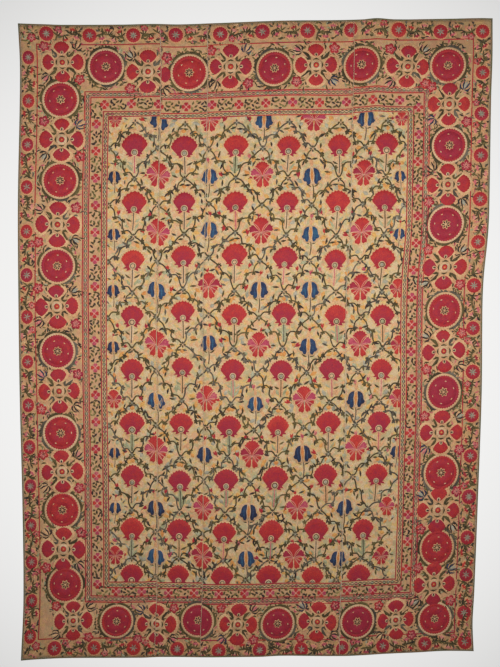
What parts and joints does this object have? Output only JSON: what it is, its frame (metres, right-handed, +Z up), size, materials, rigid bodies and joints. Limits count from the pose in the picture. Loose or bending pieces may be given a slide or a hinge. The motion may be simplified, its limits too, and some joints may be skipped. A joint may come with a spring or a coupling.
{
  "type": "suzani embroidered wall hanging",
  "caption": "Large hand-embroidered suzani hanging: four joined cloth panels, a floral lattice field, wide rosette borders and a narrow dark edging.",
  "frame": {"origin": "middle of the top edge of the hanging, in the plane that the cloth hangs in", "axes": "+Z up the hanging, +X to the viewer's right, the embroidered face towards -Y"},
  "size_m": [1.8034, 0.0143, 2.4408],
  "materials": {
    "ground_cloth": "hand-woven cloth",
    "edging_braid": "tightly worked braid",
    "silk_thread": "couched silk stitching"
  },
  "bodies": {
    "root": {"left_panel": "ground_cloth", "narrow_panel": "ground_cloth", "middle_panel": "ground_cloth", "right_panel": "ground_cloth", "top_edging": "edging_braid", "hem_edging": "edging_braid", "left_edging": "edging_braid", "right_edging": "edging_braid"}
  },
  "joints": []
}
